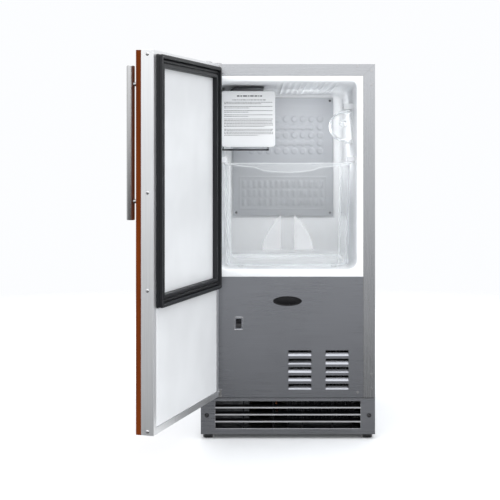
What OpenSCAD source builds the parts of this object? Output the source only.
// Built-in automatic ice maker with a hinged door, a clear ice bin and a scoop.
// X runs to the right, Y runs into the cabinet and Z runs up.  The origin is the
// front centre of the base pan's underside, on the plane of the front frame.

/* [Cabinet] */
// Width of the cabinet
cab_w = 375; // [312:1:460]
// Height from the underside of the base pan to the top
cab_h = 796.5; // [660:0.5:980]
// Depth of the cabinet without the door
cab_d = 512; // [480:1:640]
// Thickness of the outer sheet steel
skin_t = 1; // [0.8:0.1:1.6]
// Width of the steel frame round the front
frame_w = 25; // [20:1:32]
// Height of the toe kick
toe_h = 77; // [64:1:100]
// Height of the panel between the toe kick and the cavity
panel_h = 260; // [215:1:320]
// Thickness of the base pan
pan_t = 1.5; // [1:0.1:2.5]
// Gap round sheets that lie beside each other
sheet_gap = 0.3; // [0.2:0.1:0.8]

/* [Feet] */
// Radius of a levelling foot
foot_r = 11.4; // [9:0.1:16]
// Distance of the foot's lower face below the base pan
foot_drop = 10; // [8:0.5:25]
// Thickness of the foot's pad
foot_pad_t = 7; // [5:0.5:7.5]
// Radius of the foot's stud
stud_r = 4; // [3:0.5:5]
// Distance of a foot's axis from the cabinet's side
foot_inset = 15.6; // [14:0.1:40]
// Distance of a foot's axis from the front and the back
foot_inset_y = 22; // [22:1:60]
// Radial clearance of shafts, studs and pins
run_gap = 0.05; // [0.02:0.01:0.08]

/* [Cavity] */
// Width of the white flange beside the cavity
flange_w = 14.2; // [10:0.1:24]
// Height of the white flange below the cavity
sill_h = 16; // [10:0.5:30]
// Depth of the cavity
cav_d = 430; // [380:1:440]
// Thickness of the liner
liner_t = 2; // [1.5:0.1:3]
// Radius of the cavity's upper corners
cav_r_top = 12; // [6:0.5:20]
// Radius of the cavity's lower corners
cav_r_bottom = 20; // [8:0.5:26]

/* [Toe kick and vents] */
// Blades in the toe kick's grille
blade_count = 3; // [2:1:5]
// Width of a louver in the lower panel
louver_w = 49.5; // [30:0.5:55]
// Height of a louver
louver_h = 12.4; // [10:0.2:14]
// Spacing of the louver rows
louver_pitch = 18; // [17:0.5:24]
// Rows of louvers
louver_rows = 5; // [3:1:6]

/* [Door] */
// Angle the door stands open at rest
door_open = 107; // [0:1:110]
// Thickness of the door's steel frame
door_t = 25; // [20:0.5:32]
// Thickness of the decor panel
decor_t = 10; // [6:0.5:14]
// Distance of the hinge axis from the cabinet's side
pin_inset = 17.5; // [15:0.5:22]
// Distance of the hinge axis in front of the cabinet
pin_front = 30; // [29:0.5:34]
// Radius of the hinge pins
pin_r = 3; // [2.5:0.1:3.5]
// Width of the gasket
gasket_w = 25; // [18:0.5:30]
// Height of the gasket above the door's inner face
gasket_t = 12; // [9:0.5:12]
// Width of the door frame's inner lip
door_lip = 13; // [9:0.5:14]
// Thickness of the door frame's sheet
door_sheet = 1.2; // [0.8:0.1:1.6]

/* [Handle] */
// Radius of the handle bar
bar_r = 7.8; // [5:0.1:10]
// Length of the handle bar
bar_len = 292; // [200:1:420]
// Spacing of the two standoffs
standoff_span = 221; // [150:1:280]
// Radius of a standoff
standoff_r = 4; // [3.5:0.1:4.5]
// Distance of the bar's axis from the decor panel
bar_off = 31.5; // [24:0.5:45]
// Distance of the bar's axis from the door's free edge
bar_inset = 50; // [25:1:80]

/* [Ice maker unit] */
// Width of the unit's front housing
unit_w = 120; // [112:1:130]
// Height of the unit's front housing
unit_h = 124; // [112:1:135]
// Distance of the housing behind the cavity's mouth
unit_y = 80; // [70:1:100]
// Depth of the housing
unit_d = 50; // [46:1:60]
// Radius of the ice mould's trough
mould_r = 34; // [29:0.5:36]
// Length of the ice mould
mould_len = 196; // [160:1:205]
// Ice pockets in the mould
pockets = 7; // [5:1:8]

/* [Ice bin and scoop] */
// Thickness of the bin's wall
bin_t = 2.5; // [2:0.1:4]
// Depth of the bin
bin_d = 280; // [240:1:340]
// Draft of the bin's walls from rim to floor
bin_draft = 5; // [3:0.5:8]
// How far the front of the bin bows out
bin_bow = 12; // [4:0.5:16]
// Width of the bin's rim at the sides
rim_w = 1.5; // [1:0.5:5]
// Outer radius of the scoop's bowl
scoop_r = 36; // [28:0.5:40]
// Length of the scoop's bowl
scoop_len = 92; // [70:1:130]

/* [Hidden] */
$fn = 48;

eps = 0.01;
hw = cab_w / 2;
panel_gap = 1.6;
panel_z0 = toe_h + panel_gap;
panel_z1 = panel_z0 + panel_h;
frame_in = hw - frame_w;
frame_top = cab_h - frame_w;
mitre_gap = 0.1;
return_d = 12;

// Cavity
cav_hw = frame_in - sheet_gap - flange_w;
cav_z0 = panel_z1 + sill_h;
cav_z1 = frame_top - sheet_gap - 13;
flange_hw = frame_in - sheet_gap;
flange_z0 = panel_z1 + sheet_gap;
flange_z1 = frame_top - sheet_gap;
foam_y0 = 10;
foam_y1 = cab_d - skin_t - 0.6;
foam_z0 = panel_z1 - 38;
foam_hw = hw - skin_t - 0.3;

// Spare fastener holes in the front, which the hinges use on the left side
fix_x = 7.5;
fix_top = [[hw - 38, cab_h - 4.5], [hw - fix_x, cab_h - 14.5], [hw - fix_x, cab_h - 44.5]];
fix_low = [[hw - fix_x, panel_z0 + 19.4], [hw - fix_x, panel_z0 + 50]];
fix_panel = [hw - 37.5, panel_z0 + 12];
fix_r = 2.3;
screw_r = 2;
screw_head_r = 3.2;

// Toe kick
toe_open_hw = hw - 30.5;
toe_open_z0 = 11.7;
toe_open_z1 = toe_h - 5.3;
toe_screw_x = hw - 13;
toe_screw_z = 41;
toe_t = skin_t - 0.1;

// Louvers and switch
louver_x = [1, 81];
louver_top = panel_z0 + 102;
switch_x = -hw + 81.5;
switch_z = panel_z1 - 100;
switch_hole = [14.8, 21.6];
rocker_pivot_y = 4;
rocker_w = 11.4;
rocker_tilt = 8;

// Hinges
pin_x = -hw + pin_inset;
pin_y = -pin_front;
bracket_t = 2.5;
bracket_lip = 13;
arm_z_top = cab_h - 0.2;
arm_z_low = toe_h + 3;
bush_r = 4.9;
bush_flange_r = 7;
bush_flange_t = 1.5;
bush_len = 14;

// Door, closed
door_hw = hw - 2;
door_z0 = toe_h + 8;
door_z1 = cab_h - 2.5;
door_seal_gap = 0.3;
door_y1 = -gasket_t - door_seal_gap;
door_y0 = door_y1 - door_t;
decor_y0 = door_y0 - decor_t;
door_foam_inset = 24;
gasket_inset = 12;
gasket_z0 = panel_z1 - 21.6;
gasket_z1 = door_z1 - 6.5;
bar_x = door_hw - bar_inset;
bar_y = decor_y0 - bar_off;
bar_z1 = door_z1 - 24.5;
bar_z0 = bar_z1 - bar_len;
standoff_z = [bar_z0 + (bar_len - standoff_span) / 2, bar_z1 - (bar_len - standoff_span) / 2];
handle_screw_r = 2.4;

// Ice maker unit
unit_x0 = -cav_hw + 2;
unit_x1 = unit_x0 + unit_w;
unit_z1 = cav_z1 - 15.4;
unit_z0 = unit_z1 - unit_h;
housing_t = 2;
mould_x = unit_x0 + unit_w / 2 - 2;
mould_z = unit_z0 + 71;
mould_hw = mould_r + 5;
mould_y0 = unit_y + unit_d + 4;
mould_y1 = mould_y0 + mould_len;
mould_wall = 3;
pocket_pitch = (mould_len - 2 * mould_wall) / pockets;
shaft_r = 4;
finger_len = mould_r - 4;
mould_floor = mould_z - mould_r - 5;
heater_r = 3.2;
arm_pivot_y = mould_y0 + 60;
arm_pivot_z = unit_z0 + 3;
feeler_y = unit_y + 22;
feeler_z = unit_z0 - 6.5;
feeler_r = 1.7;
arm_x0 = unit_x0 + 3;
arm_x1 = mould_x + mould_hw + 8;
ear_t = 3.5;
ear_x = [mould_x - mould_hw + 1, mould_x + mould_hw - ear_t - 1];

// Evaporator
evap_hw = cav_hw - 22.4;
evap_z0 = cav_z0 + 94;
evap_z1 = cav_z1 - 13;
evap_y = cav_d - 6;
evap_t = 1.5;
evap_screw_in = 8;

// Bin
bin_z0 = cav_z0 + 5;
bin_z1 = unit_z0 - 35.5;
bin_y0 = 24;
bin_hw = cav_hw - 8.8;
bin_foot_r = 6;

// Scoop on the right wall
scoop_x = cav_hw - 14;
scoop_cut_x = cav_hw - 3;
scoop_handle_r = 7;
scoop_z = cav_z1 - 91.6;
scoop_y0 = 95;
scoop_y1 = scoop_y0 + scoop_len;
scoop_t = 2;
scoop_play = 0.8;
scoop_handle = [scoop_x + 1.5, scoop_z + 7];
scoop_handle_len = 84;

// Machine compartment
comp_x = -hw + 100;
comp_y = cab_d - 122;
comp_r = 58;
comp_z = 24;
cond_x0 = 0;
cond_x1 = hw - 40;
cond_y0 = 42;
cond_y1 = 86;
cond_z0 = 14;
cond_z1 = 206;
fan_x = (cond_x0 + cond_x1) / 2;
fan_z = (cond_z0 + cond_z1) / 2;
fan_r = 58;
shroud_y = cond_y1 + 2;
fan_y = shroud_y + 10;
motor_y = fan_y + 24;
tube_r = 3;
valve_x = hw - 62;
valve_z = 70;
water_x = mould_x;
water_y = cab_d - 13;
water_z = mould_z + 32;
water_r = 4;
suction_x = 60;
suction_y = cav_d + 30;
tunnel_r = tube_r + 4;
capillary_r = 1.2;
capillary_x = suction_x - 4.6;
service_z1 = foam_z0 - 38;

// A box given by two opposite corners
module box(p, q) {
    translate(p) cube([q[0] - p[0], q[1] - p[1], q[2] - p[2]]);
}

module x_rod(y, z, x0, x1, r) {
    translate([x0, y, z]) rotate([0, 90, 0]) cylinder(r = r, h = x1 - x0);
}

module y_rod(x, z, y0, y1, r) {
    translate([x, y0, z]) rotate([-90, 0, 0]) cylinder(r = r, h = y1 - y0);
}

module z_rod(x, y, z0, z1, r) {
    translate([x, y, z0]) cylinder(r = r, h = z1 - z0);
}

// A flat outline in X and Z, made thick from y0 towards the back
module slab(y0, t) {
    translate([0, y0 + t, 0]) rotate([90, 0, 0]) linear_extrude(t) children();
}

// A flat outline in Y and Z, made thick along X
module rib(x0, t) {
    translate([x0, 0, 0]) rotate([90, 0, 90]) linear_extrude(t) children();
}

module rect(p, q) {
    translate(p) square([q[0] - p[0], q[1] - p[1]]);
}

// A rectangle whose lower and upper corners have their own radii
module round_rect(p, q, r_low, r_up) {
    mid = (p[1] + q[1]) / 2;
    rect([p[0] + r_low, p[1]], [q[0] - r_low, mid]);
    rect([p[0], p[1] + r_low], [q[0], mid]);
    rect([p[0] + r_up, mid], [q[0] - r_up, q[1]]);
    rect([p[0], mid], [q[0], q[1] - r_up]);
    for (x = [p[0] + r_low, q[0] - r_low]) translate([x, p[1] + r_low]) circle(r = r_low);
    for (x = [p[0] + r_up, q[0] - r_up]) translate([x, q[1] - r_up]) circle(r = r_up);
}

// A round bar along a list of points, with a ball at each bend.  Every second length is a little
// thinner, so that two lengths never meet with equal radii.
module pipe(pts, r) {
    thinner = 0.95;
    ball = 1.04;
    for (i = [0 : len(pts) - 2]) {
        step = pts[i + 1] - pts[i];
        turn = atan2(step[1], step[0]);
        lean = acos(step[2] / norm(step));
        translate(pts[i]) rotate([0, lean, turn]) cylinder(r = i % 2 == 0 ? r : r * thinner, h = norm(step));
    }
    for (i = [1 : 1 : len(pts) - 2]) translate(pts[i]) sphere(r = r * ball);
}

// Places what is drawn for the closed door at the door's open angle
module on_door() {
    translate([pin_x, pin_y, 0]) rotate([0, 0, -door_open]) translate([-pin_x, -pin_y, 0]) children();
}

// ---- Cabinet shell ----

module side_sheet() {
    difference() {
        union() {
            box([hw - skin_t, skin_t, 0], [hw, cab_d, cab_h]);
            slab(0, skin_t) polygon([
                [frame_in, panel_z0], [hw, panel_z0],
                [hw, cab_h - mitre_gap], [frame_in, frame_top - mitre_gap]
            ]);
        }
        for (p = concat([fix_top[1], fix_top[2]], fix_low)) y_rod(p[0], p[1], -1, skin_t + 1, fix_r);
    }
}

module side_panel_right() {
    color("lightgray") side_sheet();
}

module side_panel_left() {
    color("lightgray") mirror([1, 0, 0]) side_sheet();
}

module top_panel() {
    in_x = hw - skin_t - sheet_gap;
    color("gainsboro") difference() {
        union() {
            box([-in_x, skin_t, cab_h - skin_t], [in_x, cab_d, cab_h]);
            slab(0, skin_t) polygon([
                [-frame_in + mitre_gap, frame_top], [frame_in - mitre_gap, frame_top],
                [hw - mitre_gap, cab_h], [-hw + mitre_gap, cab_h]
            ]);
        }
        for (s = [-1, 1]) y_rod(s * fix_top[0][0], fix_top[0][1], -1, skin_t + 1, fix_r);
    }
}

module back_panel() {
    in_x = hw - skin_t - sheet_gap;
    color("silver") difference() {
        union() {
            box([-in_x, cab_d - skin_t, service_z1 + 2], [in_x, cab_d, cab_h - skin_t - sheet_gap]);
            // stepped lip behind the service cover
            box([-in_x, cab_d - 2 * skin_t - 0.1, service_z1 - 12], [in_x, cab_d - skin_t - 0.1, service_z1 + 4]);
            box([-in_x, cab_d - skin_t - 0.2, service_z1 + 2], [in_x, cab_d - skin_t + 0.1, service_z1 + 4]);
        }
        for (p = service_screws_top()) y_rod(p[0], p[1], cab_d - 4, cab_d + 1, screw_r + 0.1);
    }
}

function service_screws_top() = [for (x = [-hw + 22, 0, hw - 22]) [x, service_z1 - 6]];
function service_screws_low() = [for (x = [-hw + 22, 0, hw - 22]) [x, 12]];

module rear_service_cover() {
    in_x = hw - skin_t - sheet_gap;
    color("silver") difference() {
        box([-in_x, cab_d - skin_t, pan_t + 1], [in_x, cab_d, service_z1]);
        for (p = concat(service_screws_top(), service_screws_low()))
            y_rod(p[0], p[1], cab_d - 4, cab_d + 1, screw_r + 0.1);
        // air slots behind the compressor
        for (row = [0 : 6]) box(
            [comp_x - 60, cab_d - 4, 60 + 14 * row], [comp_x + 60, cab_d + 1, 65 + 14 * row]
        );
        y_rod(valve_x, valve_z, cab_d - 4, cab_d + 1, 18);
        y_rod(gland_x(), gland_z, cab_d - 4, cab_d + 1, 8.2);
    }
}

gland_z = 44;
function gland_x() = hw - 118;

function foot_places() = [
    [-hw + foot_inset, foot_inset_y], [hw - foot_inset, foot_inset_y],
    [-hw + foot_inset, cab_d - foot_inset_y], [hw - foot_inset, cab_d - foot_inset_y]
];

nut_h = 9;

module base_pan() {
    in_x = hw - skin_t - sheet_gap;
    y0 = 2;
    y1 = cab_d - skin_t - 2;
    color("darkgray") difference() {
        union() {
            box([-in_x, y0, 0], [in_x, y1, pan_t]);
            for (s = [0, 1]) mirror([s, 0, 0]) box([in_x - pan_t, y0, 0], [in_x, y1, 14]);
            box([-in_x, y1 - pan_t, 0], [in_x, y1, 22]);
            // weld nuts for the levelling feet
            for (p = foot_places()) z_rod(p[0], p[1], 0, pan_t + nut_h, stud_r + 4);
        }
        for (p = foot_places()) z_rod(p[0], p[1], -1, pan_t + nut_h + 1, stud_r + run_gap);
        for (p = service_screws_low()) y_rod(p[0], p[1], y1 - 3, y1 + 1, screw_r + 0.1);
        for (p = grommet_places()) z_rod(p[0], p[1], -1, pan_t + 1, 3.2);
    }
}

module foot_at(p) {
    color("dimgray") difference() {
        union() {
            z_rod(p[0], p[1], -foot_drop, -foot_drop + foot_pad_t, foot_r);
            z_rod(p[0], p[1], -foot_drop + 2, pan_t + nut_h + 6, stud_r);
        }
        // screwdriver slot in the top of the stud
        translate([p[0] - 0.6, p[1] - 10, pan_t + nut_h + 4.4]) cube([1.2, 20, 3]);
    }
}

// ---- Toe kick and lower panel ----

module toe_kick_frame() {
    color("dimgray") difference() {
        union() {
            box([-hw, 0, 0], [hw, toe_t, toe_h]);
            box([-hw + skin_t + 0.5, 0, toe_h - toe_t], [hw - skin_t - 0.5, return_d, toe_h]);
        }
        slab(-1, 3) round_rect([-toe_open_hw, toe_open_z0], [toe_open_hw, toe_open_z1], 2.5, 2.5);
        for (s = [-1, 1]) y_rod(s * toe_screw_x, toe_screw_z, -1, 3, screw_r + 0.2);
    }
}

blade_pitch = (toe_open_z1 - toe_open_z0) / (blade_count + 1);
support_x = [-0.61, -0.2, 0.2, 0.61];

module toe_kick_blades() {
    edge = 4;
    back = 12;
    color("gray") {
        difference() {
            slab(toe_t + 0.1, 1.4) rect(
                [-toe_open_hw - edge, toe_open_z0 - edge], [toe_open_hw + edge, toe_open_z1 + edge - 1]
            );
            slab(-1, 6) rect([-toe_open_hw + 0.5, toe_open_z0 + 0.5], [toe_open_hw - 0.5, toe_open_z1 - 0.5]);
        }
        for (i = [1 : blade_count]) {
            z = toe_open_z0 + i * blade_pitch;
            rib(-toe_open_hw + 0.3, 2 * toe_open_hw - 0.6) polygon([
                [0.2, z - 1], [0.2, z + 0.8], [back, z + 5], [back, z + 3.4]
            ]);
        }
        for (k = support_x) box(
            [k * toe_open_hw - 1.5, back - 4, toe_open_z0 - 2], [k * toe_open_hw + 1.5, back, toe_open_z1 + 2]
        );
        for (k = support_x, z = [toe_open_z0 - 3.5, toe_open_z1 + 0.5]) box(
            [k * toe_open_hw - 1.5, toe_t + 0.2, z], [k * toe_open_hw + 1.5, back, z + 2.2]
        );
        for (s = [0, 1]) mirror([s, 0, 0]) box(
            [toe_open_hw - 0.4, toe_t + 0.2, toe_open_z0], [toe_open_hw + 1.6, back, toe_open_z1]
        );
    }
}

module pan_screw(x, z, y_face, len, dir) {
    // dir is 1 for a screw driven towards the back and -1 for one driven forwards
    translate([x, y_face, z]) rotate([-90 * dir, 0, 0]) {
        cylinder(r = screw_r, h = len);
        translate([0, 0, -1.6]) difference() {
            cylinder(r1 = screw_head_r - 0.8, r2 = screw_head_r, h = 1.6);
            for (a = [0, 90]) rotate(a) translate([-0.4, -1.8, -0.1]) cube([0.8, 3.6, 1]);
        }
    }
}

module cabinet_screws() {
    color("silver") {
        for (s = [-1, 1]) scale_screw(s * toe_screw_x, toe_screw_z);
        for (p = concat(service_screws_top(), service_screws_low())) pan_screw(p[0], p[1], cab_d, 4, -1);
    }
}

// The toe kick's screws have wide washer heads
module scale_screw(x, z) {
    y_rod(x, z, 0, 9, screw_r);
    difference() {
        union() {
            y_rod(x, z, -1, 0, 5);
            y_rod(x, z, -2, -1, 3.6);
        }
        for (a = [0, 90]) translate([x, -2.1, z]) rotate([0, a, 0]) box([-2, 0, -0.45], [2, 0.9, 0.45]);
    }
}

function louver_z(row) = louver_top - louver_h - row * louver_pitch;

module lower_front_panel() {
    px = frame_in - sheet_gap;
    color("slategray") difference() {
        union() {
            box([-px, 0, panel_z0], [px, skin_t, panel_z1]);
            for (s = [0, 1]) mirror([s, 0, 0]) box([px - skin_t, 0, panel_z0], [px, return_d, panel_z1]);
            box([-px, 0, panel_z0], [px, return_d, panel_z0 + skin_t]);
            box([-px, 0, panel_z1 - skin_t], [px, return_d, panel_z1]);
        }
        for (x = louver_x, row = [0 : louver_rows - 1]) slab(-1, 3)
            round_rect([x, louver_z(row)], [x + louver_w, louver_z(row) + louver_h], 0.4, 1.2);
        box(
            [switch_x - switch_hole[0] / 2, -1, switch_z - switch_hole[1] / 2],
            [switch_x + switch_hole[0] / 2, 2, switch_z + switch_hole[1] / 2]
        );
        for (s = [-1, 1]) y_rod(s * fix_panel[0], fix_panel[1], -1, 3, fix_r);
    }
    // pressed tongues that lean inwards behind each opening
    color("lightgray") for (x = louver_x, row = [0 : louver_rows - 1]) {
        z = louver_z(row);
        rib(x, louver_w) polygon([
            [0, z - 0.6], [skin_t, z - 0.6], [6 + skin_t, z + 7.3], [6, z + 7.3]
        ]);
    }
}

module hole_plugs() {
    right = concat(fix_top, fix_low, [fix_panel]);
    color("whitesmoke") for (p = right) {
        y_rod(p[0], p[1], -0.9, 0, 2.9);
        y_rod(p[0], p[1], -eps, 5, fix_r - 0.1);
    }
}

// ---- Cavity ----

module cavity_outline(grow) {
    round_rect(
        [-cav_hw - grow, cav_z0 - grow], [cav_hw + grow, cav_z1 + grow], cav_r_bottom + grow, cav_r_top + grow
    );
}

module cavity_liner() {
    color("white") difference() {
        union() {
            slab(0, liner_t) rect([-flange_hw, flange_z0], [flange_hw, flange_z1]);
            slab(0, cav_d + liner_t) cavity_outline(liner_t);
        }
        slab(-1, cav_d + 1) cavity_outline(0);
        // shallow step in the floor behind the sill
        box([-104, 4, cav_z0 - 1.2], [104, 40, cav_z0 + 1]);
        for (p = evap_screw_places()) y_rod(p[0], p[1], cav_d - 1, cav_d + liner_t + 1, 1.7);
        y_rod(water_x, water_z, cav_d - 1, cav_d + liner_t + 1, water_r + 0.4);
        y_rod(suction_x, evap_z0 + 30, cav_d - 1, cav_d + liner_t + 1, tunnel_r);
    }
}

module cabinet_insulation() {
    color("khaki") difference() {
        union() {
            box([-foam_hw, foam_y0, panel_z1 + 1], [foam_hw, foam_y1, cab_h - skin_t - 0.3]);
            box([-foam_hw, return_d + 2, foam_z0], [foam_hw, foam_y1, panel_z1 + 1]);
        }
        slab(-1, cav_d + liner_t + 1.2) cavity_outline(liner_t + 0.2);
        // channels for the water and suction tubes
        z_rod(water_x, water_y, foam_z0 - 1, water_z, water_r + 1);
        translate([water_x, water_y, water_z]) sphere(r = water_r + 1);
        y_rod(water_x, water_z, cav_d, water_y, water_r + 1);
        z_rod(suction_x, suction_y, foam_z0 - 1, evap_z0 + 30, tunnel_r);
        translate([suction_x, suction_y, evap_z0 + 30]) sphere(r = tunnel_r);
        y_rod(suction_x, evap_z0 + 30, cav_d, suction_y, tunnel_r);
    }
}

function evap_screw_places() = [
    for (s = [-1, 1], z = [evap_z0 + evap_screw_in, evap_z1 - evap_screw_in]) [s * (evap_hw - evap_screw_in), z]
];

dimple_r = 8;
dimple_pitch = 21.3;
dimple_rows = max(1, floor((evap_z1 - evap_z0 - 150) / 26));
dimple_cols = floor((2 * evap_hw - 66) / dimple_pitch) + 1;
oval_pitch = 14;
oval_cols = floor((2 * evap_hw - 40) / oval_pitch);

function dimple_x(col) = evap_hw - 33 - dimple_pitch * col;
function dimple_z(row) = evap_z1 - 54 - 20 * row;

// Raised channels and dimples of the roll-bonded plate
module evap_relief() {
    for (row = [0 : dimple_rows - 1], col = [0 : dimple_cols - 1])
        translate([dimple_x(col), dimple_z(row)]) circle(r = dimple_r);
    for (row = [1 : 2 : dimple_rows - 1])
        translate([dimple_x(dimple_cols - 1), dimple_z(row) - 5]) square([(dimple_cols - 2) * dimple_pitch, 10]);
    for (row = [0 : 2], col = [0 : oval_cols - 1])
        translate([(col - (oval_cols - 1) / 2) * oval_pitch, evap_z0 + 34.4 + 22.6 * row]) {
            translate([0, -4]) circle(r = 3.6);
            translate([-3.6, -4]) square([7.2, 8]);
            translate([0, 4]) circle(r = 3.6);
        }
}

module evaporator_plate() {
    color("lightgray") difference() {
        union() {
            slab(evap_y, evap_t) round_rect([-evap_hw, evap_z0], [evap_hw, evap_z1], 5, 5);
            slab(evap_y - 1.2, 1.3) evap_relief();
            for (p = evap_screw_places()) y_rod(p[0], p[1], evap_y + 1, cav_d - 0.05, 4.5);
        }
        for (p = evap_screw_places()) y_rod(p[0], p[1], evap_y - 2, cav_d + 1, 1.7);
        y_rod(water_x, water_z, evap_y - 2, cav_d + 1, water_r + 0.6);
    }
}

module evaporator_screws() {
    color("gray") for (p = evap_screw_places()) {
        y_rod(p[0], p[1], evap_y - 1.4, evap_y, 3);
        y_rod(p[0], p[1], evap_y - eps, cav_d + liner_t, 1.6);
    }
}

// ---- Ice maker unit ----

module unit_housing() {
    color("white") difference() {
        slab(unit_y, unit_d) round_rect([unit_x0, unit_z0], [unit_x1, unit_z1], 4, 4);
        slab(unit_y + housing_t, unit_d) round_rect(
            [unit_x0 + housing_t, unit_z0 + housing_t], [unit_x1 - housing_t, unit_z1 - housing_t], 2, 2
        );
    }
}

module unit_gear_motor() {
    y0 = unit_y + housing_t + 1;
    y1 = unit_y + unit_d + 3;
    color("dimgray") difference() {
        union() {
            slab(y0, 26) round_rect([mould_x - 34, mould_z - 30], [mould_x + 34, mould_z + 34], 3, 3);
            y_rod(mould_x, mould_z, y0, y1 - 8, 12);
            // back plate that carries the housing and the mould
            slab(y1 - 8, 4) rect([unit_x0 + 3, unit_z0 + 3], [unit_x1 - 3, unit_z1 - 3]);
            for (s = [-1, 1]) y_rod(mould_x + s * (mould_hw - 5), mould_floor + 6, y1 - 6, y1 + 0.9, 4);
        }
        y_rod(mould_x, mould_z, y1 - 16, y1 + 2, shaft_r + run_gap);
    }
}

module unit_bracket() {
    bz = mould_z - 16;
    color("silver") {
        box([-cav_hw + 0.1, mould_y0 + 20, bz], [-cav_hw + 1.6, mould_y1 - 20, bz + 44]);
        for (y = [mould_y0 + 30, mould_y1 - 46]) box([-cav_hw + 0.1, y, bz], [mould_x - mould_hw - 0.05, y + 16, bz + 3]);
    }
}

module ice_mould() {
    color("darkgray") difference() {
        union() {
            difference() {
                box([mould_x - mould_hw, mould_y0, mould_floor], [mould_x + mould_hw, mould_y1, mould_z]);
                y_rod(mould_x, mould_z, mould_y0 + mould_wall, mould_y1 - mould_wall, mould_r);
            }
            for (i = [1 : pockets - 1]) intersection() {
                y_rod(mould_x, mould_z, mould_y0 + 1, mould_y1 - 1, mould_r + 1);
                box(
                    [mould_x - mould_r, mould_y0 + mould_wall + i * pocket_pitch - 1, mould_floor + 2],
                    [mould_x + mould_r, mould_y0 + mould_wall + i * pocket_pitch + 1, mould_z - shaft_r - 2]
                );
            }
            for (y = [mould_y0, mould_y1 - mould_wall]) box(
                [mould_x - 9, y, mould_z - 8], [mould_x + 9, y + mould_wall, mould_z + 9]
            );
            // ears that carry the shut-off arm
            for (x = ear_x) {
                box([x, arm_pivot_y - 4, arm_pivot_z], [x + ear_t, arm_pivot_y + 4, mould_floor + 1]);
                x_rod(arm_pivot_y, arm_pivot_z, x, x + ear_t, 4);
            }
        }
        x_rod(arm_pivot_y, arm_pivot_z, ear_x[0] - 1, ear_x[1] + ear_t + 1, feeler_r + run_gap);
        y_rod(mould_x, mould_z, mould_y0 - 1, mould_y0 + mould_wall + 1, shaft_r + run_gap);
        y_rod(mould_x, mould_z, mould_y1 - mould_wall - 1, mould_y1 + 1, shaft_r + run_gap);
    }
}

module mould_heater() {
    z = mould_floor - heater_r - 0.1;
    dx = 22;
    y0 = mould_y0 + 6;
    y1 = mould_y1 - 34;
    color("black") {
        for (s = [-1, 1]) y_rod(mould_x + s * dx, z, y0, y1, heater_r);
        translate([mould_x, y1, z]) rotate_extrude(angle = 180) translate([dx, 0]) circle(r = heater_r);
    }
}

module ice_stripper() {
    x1 = mould_x + mould_hw;
    color("ghostwhite") {
        box([x1 - 6, mould_y0 + 1, mould_z + 0.2], [x1, mould_y1 - 1, mould_z + 3]);
        for (i = [0 : pockets]) box(
            [mould_x + shaft_r + 6.5, max(mould_y0 + 1, mould_y0 + mould_wall + i * pocket_pitch - 3), mould_z + 0.2],
            [x1 - 5, min(mould_y1 - 1, mould_y0 + mould_wall + i * pocket_pitch + 3), mould_z + 2.4]
        );
    }
}

module mould_hood() {
    t = 1.6;
    x0 = mould_x - mould_hw - 3;
    x1 = mould_x + mould_hw - 2;
    z1 = cav_z1 - 4;
    r = 18;
    y0 = unit_y + unit_d + 0.3;
    len = mould_len;
    color("slategray") difference() {
        slab(y0, len) union() {
            rect([x0 + r, z1 - r], [x1, z1]);
            rect([x0, mould_z + 8], [x0 + r, z1 - r]);
            intersection() {
                translate([x0 + r, z1 - r]) circle(r = r);
                rect([x0, z1 - r], [x0 + r, z1]);
            }
        }
        slab(y0 - 1, len + 2) union() {
            rect([x0 + r, z1 - r - 1], [x1 + 1, z1 - t]);
            rect([x0 + t, mould_z + 7], [x0 + r + 1, z1 - r]);
            translate([x0 + r, z1 - r]) circle(r = r - t);
        }
    }
    color("slategray") box([x0, mould_y0 + 2, mould_z + 0.2], [x0 + 6, mould_y1 - 4, mould_z + 9]);
}

module fill_cup() {
    y0 = mould_y1 + 0.1;
    y1 = y0 + 30;
    z0 = mould_z + 2;
    z1 = water_z - water_r - 3;
    color("white") difference() {
        box([mould_x - 16, y0, z0], [mould_x + 16, y1, z1]);
        box([mould_x - 14, y0 + 2, z0 + 2], [mould_x + 14, y1 - 2, z1 + 1]);
        // clear of the ejector's end bearing
        box([mould_x - 8, y0 - 1, z0 - 1], [mould_x + 8, y0 + 4, z0 + 6]);
    }
}

module ice_ejector() {
    y0 = unit_y + unit_d - 12;
    y1 = mould_y1 - 0.5;
    color("lightsteelblue") {
        y_rod(mould_x, mould_z, y0, y1, shaft_r);
        for (i = [0 : pockets - 1]) {
            y = mould_y0 + mould_wall + (i + 0.5) * pocket_pitch;
            translate([mould_x, y, mould_z]) rotate([0, -20, 0]) {
                box([0, -3, -2.5], [finger_len - 2.5, 3, 2.5]);
                translate([finger_len - 2.5, 3, 0]) rotate([90, 0, 0]) cylinder(r = 2.5, h = 6);
            }
        }
    }
}

module shutoff_arm() {
    color("dimgray") pipe([
        [ear_x[0] + ear_t + 0.6, arm_pivot_y, arm_pivot_z], [arm_x0, arm_pivot_y, arm_pivot_z],
        [arm_x0, feeler_y, feeler_z], [arm_x1, feeler_y, feeler_z],
        [arm_x1, arm_pivot_y, arm_pivot_z], [ear_x[1] - 0.6, arm_pivot_y, arm_pivot_z]
    ], feeler_r);
}

// ---- Switch ----

module switch_bezel() {
    bx = 9.9;
    bz = 14;
    color("darkslategray") difference() {
        union() {
            slab(-1.2, 1.2) round_rect([switch_x - bx, switch_z - bz], [switch_x + bx, switch_z + bz], 1.5, 1.5);
            box(
                [switch_x - switch_hole[0] / 2 + 0.1, -0.1, switch_z - switch_hole[1] / 2 + 0.1],
                [switch_x + switch_hole[0] / 2 - 0.1, 18, switch_z + switch_hole[1] / 2 - 0.1]
            );
        }
        box([switch_x - 6, -2, switch_z - 9.6], [switch_x + 6, 14, switch_z + 9.6]);
        x_rod(rocker_pivot_y, switch_z, switch_x - 6.8, switch_x + 6.8, 1.2 + run_gap);
    }
}

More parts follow.
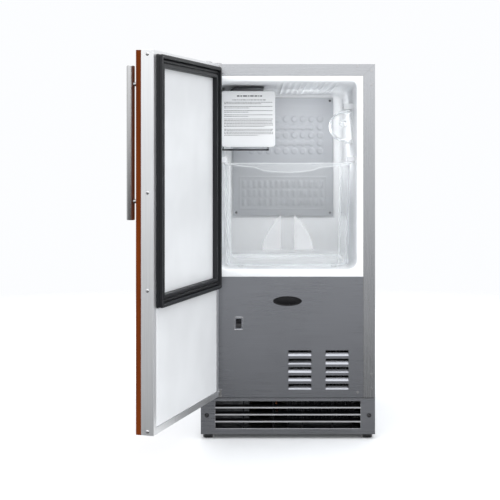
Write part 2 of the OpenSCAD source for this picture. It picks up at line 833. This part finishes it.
module switch_rocker() {
    color("black") translate([0, rocker_pivot_y, switch_z]) rotate([rocker_tilt, 0, 0]) {
        rib(switch_x - rocker_w / 2, rocker_w) polygon([
            [-6, 6.8], [-4.2, 0], [-6, -6.8], [0, -8.6], [5, -6], [5, 6], [0, 8.6]
        ]);
        x_rod(0, 0, switch_x - 6.6, switch_x + 6.6, 1.2);
    }
}

// ---- Hinges ----

module hinge_bracket_top() {
    z_low = cab_h - 54;
    color("silver") difference() {
        union() {
            slab(-bracket_t, bracket_t) polygon([
                [-hw + 0.2, z_low], [-hw + bracket_lip, z_low], [-hw + bracket_lip, cab_h - 8.2],
                [-hw + 45, cab_h - 8.2], [-hw + 45, arm_z_top + bracket_t], [-hw + 0.2, arm_z_top + bracket_t]
            ]);
            box([-hw + 0.2, pin_y, arm_z_top], [pin_x + 8, -eps, arm_z_top + bracket_t]);
            z_rod(pin_x, pin_y, arm_z_top, arm_z_top + bracket_t, 8);
        }
        z_rod(pin_x, pin_y, arm_z_top - 1, arm_z_top + 5, pin_r + run_gap);
        for (p = fix_top) y_rod(-p[0], p[1], -bracket_t - 1, 1, fix_r);
    }
}

module hinge_bracket_bottom() {
    z_up = panel_z0 + 60;
    color("silver") difference() {
        union() {
            slab(-bracket_t, bracket_t) polygon([
                [-hw + 0.2, arm_z_low], [-hw + 45, arm_z_low], [-hw + 45, arm_z_low + 17],
                [-hw + bracket_lip, arm_z_low + 17], [-hw + bracket_lip, z_up], [-hw + 0.2, z_up]
            ]);
            box([-hw + 0.2, pin_y, arm_z_low], [pin_x + 8, -eps, arm_z_low + bracket_t]);
            z_rod(pin_x, pin_y, arm_z_low, arm_z_low + bracket_t, 8);
        }
        z_rod(pin_x, pin_y, arm_z_low - 1, arm_z_low + 5, pin_r + run_gap);
        for (p = concat(fix_low, [fix_panel])) y_rod(-p[0], p[1], -bracket_t - 1, 1, fix_r);
    }
}

module hinge_pins() {
    color("dimgray") {
        z_rod(pin_x, pin_y, door_z1 - bush_len + 1, arm_z_top + bracket_t + eps, pin_r);
        z_rod(pin_x, pin_y, arm_z_top + bracket_t, arm_z_top + bracket_t + 1.5, 5.5);
        z_rod(pin_x, pin_y, arm_z_low - eps, door_z0 + bush_len - 1, pin_r);
        z_rod(pin_x, pin_y, arm_z_low - 1.5, arm_z_low, 5.5);
    }
}

module hinge_screws() {
    color("whitesmoke") for (p = concat(fix_top, fix_low, [fix_panel]))
        pan_screw(-p[0], p[1], -bracket_t, 8, 1);
}

// ---- Scoop, clips and bin ----

module scoop_bracket() {
    wall = cav_hw - 0.1;
    top = scoop_z + scoop_r + scoop_play;
    low = scoop_z - scoop_r - scoop_play;
    color("whitesmoke") {
        box([wall - 1.7, scoop_y0 + 5, low - 3], [wall, scoop_y0 + 75, top + 12]);
        box([wall - 20, scoop_y0 - 5, top], [wall, scoop_y0 + 45, top + 12]);
        box([wall - 14, scoop_y0 + 5, low - 3.4], [wall, scoop_y0 + 60, low]);
    }
}

module ice_scoop() {
    color("lightcyan") {
        difference() {
            y_rod(scoop_x, scoop_z, scoop_y0, scoop_y1, scoop_r);
            y_rod(scoop_x, scoop_z, scoop_y0 - 1, scoop_y1 - scoop_t, scoop_r - scoop_t);
            box([scoop_cut_x, scoop_y0 - 2, scoop_z - 50], [scoop_cut_x + 50, scoop_y1 + 2, scoop_z + 50]);
        }
        y_rod(scoop_handle[0], scoop_handle[1], scoop_y1 - 1, scoop_y1 + scoop_handle_len, scoop_handle_r);
        translate([scoop_handle[0], scoop_y1 + scoop_handle_len, scoop_handle[1]]) sphere(r = scoop_handle_r);
    }
}

module bin_clips() {
    z0 = bin_z1 + 2;
    color("whitesmoke") for (s = [0, 1]) mirror([s, 0, 0]) {
        box([cav_hw - 2, 52, z0], [cav_hw - 0.1, 76, z0 + 14]);
        for (y = [52, 72]) box([cav_hw - 15, y, z0], [cav_hw - 0.1, y + 4, z0 + 12]);
    }
}

function bow_x(k) = -1 + 2 * k / 12;

// Plan of the bin: straight sides and back, and a front that bows outwards
function bin_plan(x, y_front, y_back, bow) = concat(
    [[x, y_back], [-x, y_back]],
    [for (k = [0 : 12]) [bow_x(k) * x, y_front - bow * (1 - bow_x(k) * bow_x(k))]]
);

module bin_block(inset, z0, z1, draft) {
    hull() {
        translate([0, 0, z0]) linear_extrude(0.1)
            polygon(bin_plan(bin_hw - draft - rim_w - inset, bin_y0 + bin_bow + draft + inset,
                bin_y0 + bin_d - draft - inset, bin_bow));
        translate([0, 0, z1 - 0.1]) linear_extrude(0.1)
            polygon(bin_plan(bin_hw - rim_w - inset, bin_y0 + bin_bow + inset, bin_y0 + bin_d - inset, bin_bow));
    }
}

module ice_bin() {
    rim_t = 2.5;
    color("lightcyan") {
        difference() {
            bin_block(0, bin_z0, bin_z1, bin_draft);
            bin_block(bin_t, bin_z0 + bin_t, bin_z1 + 1, bin_draft);
        }
        // rim, wider in the middle of the front where it is gripped
        difference() {
            translate([0, 0, bin_z1 - rim_t]) linear_extrude(rim_t)
                polygon(bin_plan(bin_hw, bin_y0 + bin_bow - 2, bin_y0 + bin_d, bin_bow + 6));
            translate([0, 0, bin_z1 - rim_t - 1]) linear_extrude(rim_t + 2)
                polygon(bin_plan(bin_hw - rim_w - bin_t + 0.5, bin_y0 + bin_bow + bin_t - 0.5,
                    bin_y0 + bin_d - rim_w, bin_bow));
        }
        for (sx = [-1, 1], y = [bin_y0 + 45, bin_y0 + bin_d - 30])
            z_rod(sx * (bin_hw - 36), y, cav_z0 + 0.3, bin_z0 + 1, bin_foot_r);
    }
}

// ---- Machine compartment ----

function grommet_places() = [for (sx = [-1, 1], sy = [-1, 1]) [comp_x + sx * 62, comp_y + sy * 44]];

module compressor() {
    color("black") {
        difference() {
            box([comp_x - 74, comp_y - 54, comp_z - 3], [comp_x + 74, comp_y + 54, comp_z]);
            for (p = grommet_places()) z_rod(p[0], p[1], comp_z - 4, comp_z + 1, 5.2);
        }
        translate([comp_x, comp_y, comp_z - 1]) rotate_extrude() polygon(concat(
            [[0, 0], [comp_r - 10, 0], [comp_r, 12], [comp_r, 58], [comp_r + 3, 60], [comp_r + 3, 64], [comp_r, 66]],
            [for (a = [0 : 15 : 90]) [comp_r * cos(a), 96 + 34 * sin(a)]]
        ));
        box([comp_x + 40, comp_y - 22, 60], [comp_x + comp_r + 16, comp_y + 22, 96]);
    }
}

module compressor_grommets() {
    color("darkslategray") for (p = grommet_places()) difference() {
        union() {
            z_rod(p[0], p[1], pan_t, comp_z - 3, 9);
            z_rod(p[0], p[1], comp_z - 3 - eps, comp_z + 3, 5);
        }
        z_rod(p[0], p[1], pan_t - 1, comp_z + 4, 3);
    }
}

fin_pitch = 8;
fins = floor((cond_x1 - cond_x0 - 10) / fin_pitch);
coil_rows = 5;
coil_pitch = (cond_z1 - cond_z0 - 30) / (coil_rows - 1);

module condenser() {
    color("darkgray") {
        for (i = [0 : fins]) box(
            [cond_x0 + 4 + i * fin_pitch, cond_y0, cond_z0], [cond_x0 + 5 + i * fin_pitch, cond_y1, cond_z1]
        );
        for (row = [0 : coil_rows - 1], y = [cond_y0 + 12, cond_y1 - 12])
            x_rod(y, cond_z0 + 15 + row * coil_pitch, cond_x0 + 2, cond_x0 + 8 + fins * fin_pitch, 4);
        for (x = [cond_x0 + 1, cond_x0 + 6 + fins * fin_pitch]) box(
            [x, cond_y0 - 2, pan_t], [x + 2, cond_y1, cond_z1 + 2]
        );
    }
}

module fan_shroud() {
    color("dimgray") difference() {
        union() {
            box([cond_x0, shroud_y, pan_t], [cond_x1, shroud_y + 2, cond_z1]);
            y_rod(fan_x, fan_z, shroud_y, shroud_y + 39, fan_r + 5);
        }
        y_rod(fan_x, fan_z, shroud_y - 1, shroud_y + 40, fan_r + 3);
    }
    // three spokes carry the motor
    color("dimgray") for (a = [30, 150, 270]) translate([fan_x, shroud_y + 36.3, fan_z]) rotate([0, -a, 0])
        box([20.5, 0, -4], [fan_r + 4, 2.4, 4]);
    color("dimgray") difference() {
        y_rod(fan_x, fan_z, shroud_y + 36, shroud_y + 39, 24);
        y_rod(fan_x, fan_z, shroud_y + 35, shroud_y + 40, 19.2);
    }
}

module fan_motor() {
    color("gray") {
        y_rod(fan_x, fan_z, motor_y, motor_y + 38, 19);
        y_rod(fan_x, fan_z, fan_y, motor_y + 1, 3);
        box([fan_x - 15, motor_y + 8, fan_z - 24], [fan_x + 15, motor_y + 30, fan_z]);
    }
}

module fan_blade() {
    color("dimgray") difference() {
        union() {
            y_rod(fan_x, fan_z, fan_y - 2, fan_y + 18, 15);
            for (a = [0 : 72 : 288]) translate([fan_x, fan_y + 8, fan_z]) rotate([0, a, 0])
                rotate([0, 0, 28]) box([-18, -0.8, 12], [18, 0.8, fan_r + 4]);
        }
        y_rod(fan_x, fan_z, fan_y - 3, fan_y + 19, 3 + run_gap);
        // blade tips follow a circle
        difference() {
            y_rod(fan_x, fan_z, fan_y - 20, fan_y + 40, fan_r + 30);
            y_rod(fan_x, fan_z, fan_y - 21, fan_y + 41, fan_r);
        }
    }
}

drier_x = cond_x0 - 22;
drier_y = 150;
drier_z = 60;

module filter_drier() {
    color("peru") translate([drier_x, drier_y, drier_z]) {
        cylinder(r = 9, h = 90);
        translate([0, 0, 90]) cylinder(r1 = 9, r2 = 4, h = 8);
        translate([0, 0, -8]) cylinder(r1 = 4, r2 = 9, h = 8);
    }
}

module refrigerant_tubes() {
    out_x = 20;
    out_y = comp_y - sqrt(comp_r * comp_r - out_x * out_x) - 0.4;
    out_z = comp_z + 30;
    in_x = comp_r * cos(51) + 0.3;
    in_y = comp_r * sin(51) + 0.3;
    riser_z = cond_z1 + 24;
    up_y = cond_y1 - 12;
    evap_in = [evap_y + evap_t + 0.1, evap_z0 + 30];
    color("peru") {
        // hot gas from the compressor to the condenser
        pipe([
            [comp_x + out_x, out_y, out_z], [comp_x + out_x, out_y - 30, out_z],
            [comp_x + out_x, out_y - 30, out_z + 110], [cond_x0 - 10, drier_y + 50, riser_z],
            [cond_x0 - 10, up_y, riser_z], [cond_x0 - 10, up_y, cond_z1 - 15],
            [cond_x0 + 0.8, up_y, cond_z1 - 15]
        ], tube_r);
        // liquid from the condenser into the drier
        pipe([
            [cond_x0 + 0.8, up_y, cond_z0 + 15], [drier_x, up_y, cond_z0 + 15],
            [drier_x, drier_y, cond_z0 + 15], [drier_x, drier_y, drier_z - 8.1]
        ], tube_r);
        // suction from the evaporator down to the compressor
        pipe([
            [suction_x, evap_in[0], evap_in[1]], [suction_x, suction_y, evap_in[1]],
            [suction_x, suction_y, out_z], [comp_x + in_x + 14, comp_y + in_y + 16, out_z],
            [comp_x + in_x, comp_y + in_y, out_z]
        ], tube_r);
        // capillary from the drier up beside the suction line
        pipe([
            [drier_x, drier_y, drier_z + 98.1], [drier_x, drier_y, cond_z1 + 34],
            [capillary_x, suction_y, cond_z1 + 44], [capillary_x, suction_y, evap_in[1]],
            [capillary_x, evap_in[0], evap_in[1]]
        ], capillary_r);
    }
}

module water_valve() {
    y1 = cab_d + 14;
    color("white") {
        box([valve_x - 20, cab_d - 46, valve_z - 18], [valve_x + 20, cab_d - 18, valve_z + 20]);
        y_rod(valve_x, valve_z, cab_d - 19, cab_d - 4, 15);
        difference() {
            y_rod(valve_x, valve_z, cab_d - 5, y1, 13.2);
            y_rod(valve_x, valve_z, cab_d + 2, y1 + 1, 9);
        }
        z_rod(valve_x, cab_d - 32, valve_z + 19, valve_z + 48, 13);
        box([valve_x - 12, cab_d - 44, pan_t], [valve_x + 12, cab_d - 22, valve_z - 17]);
    }
}

module water_tube() {
    z = water_z;
    y_end = mould_y1 + 16;
    color("aliceblue") pipe([
        [valve_x - 20.1, cab_d - 32, valve_z + 6], [valve_x - 45, cab_d - 32, valve_z + 6],
        [water_x, cab_d - 32, valve_z + 130],
        [water_x, water_y, valve_z + 150], [water_x, water_y, z], [water_x, y_end, z],
        [water_x, y_end, z - water_r - 6]
    ], water_r);
}

module control_box() {
    color("gainsboro") difference() {
        box([-hw + 24, 90, pan_t], [-hw + 104, 200, 92]);
        box([-hw + 26, 92, pan_t + 2], [-hw + 102, 198, 90]);
        x_rod(145, 60, -hw + 100, -hw + 106, 5);
    }
}

module cord_gland() {
    x = gland_x();
    color("black") difference() {
        union() {
            y_rod(x, gland_z, cab_d - 6, cab_d + 3, 8);
            y_rod(x, gland_z, cab_d, cab_d + 3, 11);
            y_rod(x, gland_z, cab_d - 6, cab_d - skin_t - 0.1, 10);
        }
        y_rod(x, gland_z, cab_d - 7, cab_d + 4, 4.2);
    }
}

// ---- Door, drawn closed and swung open by on_door() ----

module door_frame() {
    lip = door_lip;
    t = door_sheet;
    color("silver") on_door() difference() {
        box([-door_hw, door_y0, door_z0], [door_hw, door_y1, door_z1]);
        box([-door_hw + t, door_y0 + t, door_z0 + t], [door_hw - t, door_y1 - t, door_z1 - t]);
        box([-door_hw + lip, door_y0 - 1, door_z0 + lip], [door_hw - lip, door_y1 + 1, door_z1 - lip]);
        z_rod(pin_x, pin_y, door_z0 - 1, door_z0 + t + 1, bush_r + 0.05);
        z_rod(pin_x, pin_y, door_z1 - t - 1, door_z1 + 1, bush_r + 0.05);
    }
}

module door_insulation() {
    f = door_foam_inset;
    color("khaki") on_door() difference() {
        box([-door_hw + f, door_y0 + 0.5, door_z0 + f], [door_hw - f, door_y1 - 3, door_z1 - f]);
        for (z = standoff_z) y_rod(bar_x, z, door_y0 - 1, door_y0 + 6, 7);
    }
}

module door_decor_panel() {
    color("saddlebrown") on_door() difference() {
        box([-door_hw, decor_y0, door_z0], [door_hw, door_y0 - 0.05, door_z1]);
        for (z = standoff_z) y_rod(bar_x, z, decor_y0 - 1, door_y0 + 1, handle_screw_r + 0.3);
    }
}

module door_liner_panel() {
    x = door_hw - door_lip - 0.3;
    color("white") on_door()
        box([-x, door_y1 - 2.6, gasket_z0 + 0.5], [x, door_y1 - 1, door_z1 - door_lip - 0.3]);
}

module door_lower_panel() {
    x = door_hw - door_lip - 0.3;
    color("white") on_door()
        box([-x, door_y1 - 2.6, door_z0 + door_lip + 0.3], [x, door_y1 - 0.6, gasket_z0]);
}

// A rectangular ring of the gasket, from inset a to inset b and h high
module gasket_ring(a, b, y0, h) {
    x = door_hw - gasket_inset;
    r = 5;
    slab(y0, h) difference() {
        round_rect([-x + a, gasket_z0 + a], [x - a, gasket_z1 - a], r, r);
        round_rect([-x + b, gasket_z0 + b], [x - b, gasket_z1 - b], r, r);
    }
}

module door_gasket() {
    w = gasket_w;
    color("black") on_door() {
        gasket_ring(0, w, door_y1, 3);
        gasket_ring(0.8, w * 0.32, door_y1 + 2.9, gasket_t - 2.9);
        gasket_ring(w * 0.4, w * 0.6, door_y1 + 2.9, gasket_t - 5);
        gasket_ring(w * 0.7, w - 0.6, door_y1 + 2.9, gasket_t - 3.4);
    }
}

module door_bushes() {
    color("ivory") on_door() difference() {
        union() {
            z_rod(pin_x, pin_y, door_z1 - bush_len, door_z1 + eps, bush_r);
            z_rod(pin_x, pin_y, door_z1, door_z1 + bush_flange_t, bush_flange_r);
            z_rod(pin_x, pin_y, door_z0 - eps, door_z0 + bush_len, bush_r);
            z_rod(pin_x, pin_y, door_z0 - bush_flange_t, door_z0, bush_flange_r);
        }
        z_rod(pin_x, pin_y, door_z0 - 5, door_z1 + 5, pin_r + run_gap);
    }
}

module handle_bar() {
    color("silver") on_door() difference() {
        union() {
            z_rod(bar_x, bar_y, bar_z0 + 1, bar_z1 - 1, bar_r);
            translate([bar_x, bar_y, bar_z0]) cylinder(r1 = bar_r - 1, r2 = bar_r, h = 1);
            translate([bar_x, bar_y, bar_z1 - 1]) cylinder(r1 = bar_r, r2 = bar_r - 1, h = 1);
        }
        for (z = standoff_z) y_rod(bar_x, z, bar_y - 1, bar_y + bar_r + 1, standoff_r + 0.02);
    }
}

// Each standoff is drawn with the screw that pulls it onto the decor panel
module handle_standoffs() {
    color("gray") on_door() for (z = standoff_z) {
        y_rod(bar_x, z, bar_y - 0.9, decor_y0, standoff_r);
        y_rod(bar_x, z, decor_y0 - eps, door_y0 + 0.1, handle_screw_r);
        y_rod(bar_x, z, door_y0, door_y0 + 3, 5);
    }
}

side_panel_left();
side_panel_right();
top_panel();
back_panel();
rear_service_cover();
base_pan();
toe_kick_frame();
toe_kick_blades();
cabinet_screws();
lower_front_panel();
hole_plugs();
cavity_liner();
cabinet_insulation();
evaporator_plate();
evaporator_screws();
unit_housing();
unit_gear_motor();
unit_bracket();
ice_mould();
mould_heater();
ice_stripper();
mould_hood();
fill_cup();
ice_ejector();
shutoff_arm();
switch_bezel();
switch_rocker();
hinge_bracket_top();
hinge_bracket_bottom();
hinge_pins();
hinge_screws();
scoop_bracket();
ice_scoop();
bin_clips();
ice_bin();
compressor();
compressor_grommets();
condenser();
fan_shroud();
fan_motor();
fan_blade();
filter_drier();
refrigerant_tubes();
water_valve();
water_tube();
control_box();
cord_gland();
door_frame();
door_insulation();
door_decor_panel();
door_liner_panel();
door_lower_panel();
door_gasket();
door_bushes();
handle_bar();
handle_standoffs();
foot_at(foot_places()[0]);  // foot_front_left
foot_at(foot_places()[1]);  // foot_front_right
foot_at(foot_places()[2]);  // foot_rear_left
foot_at(foot_places()[3]);  // foot_rear_right
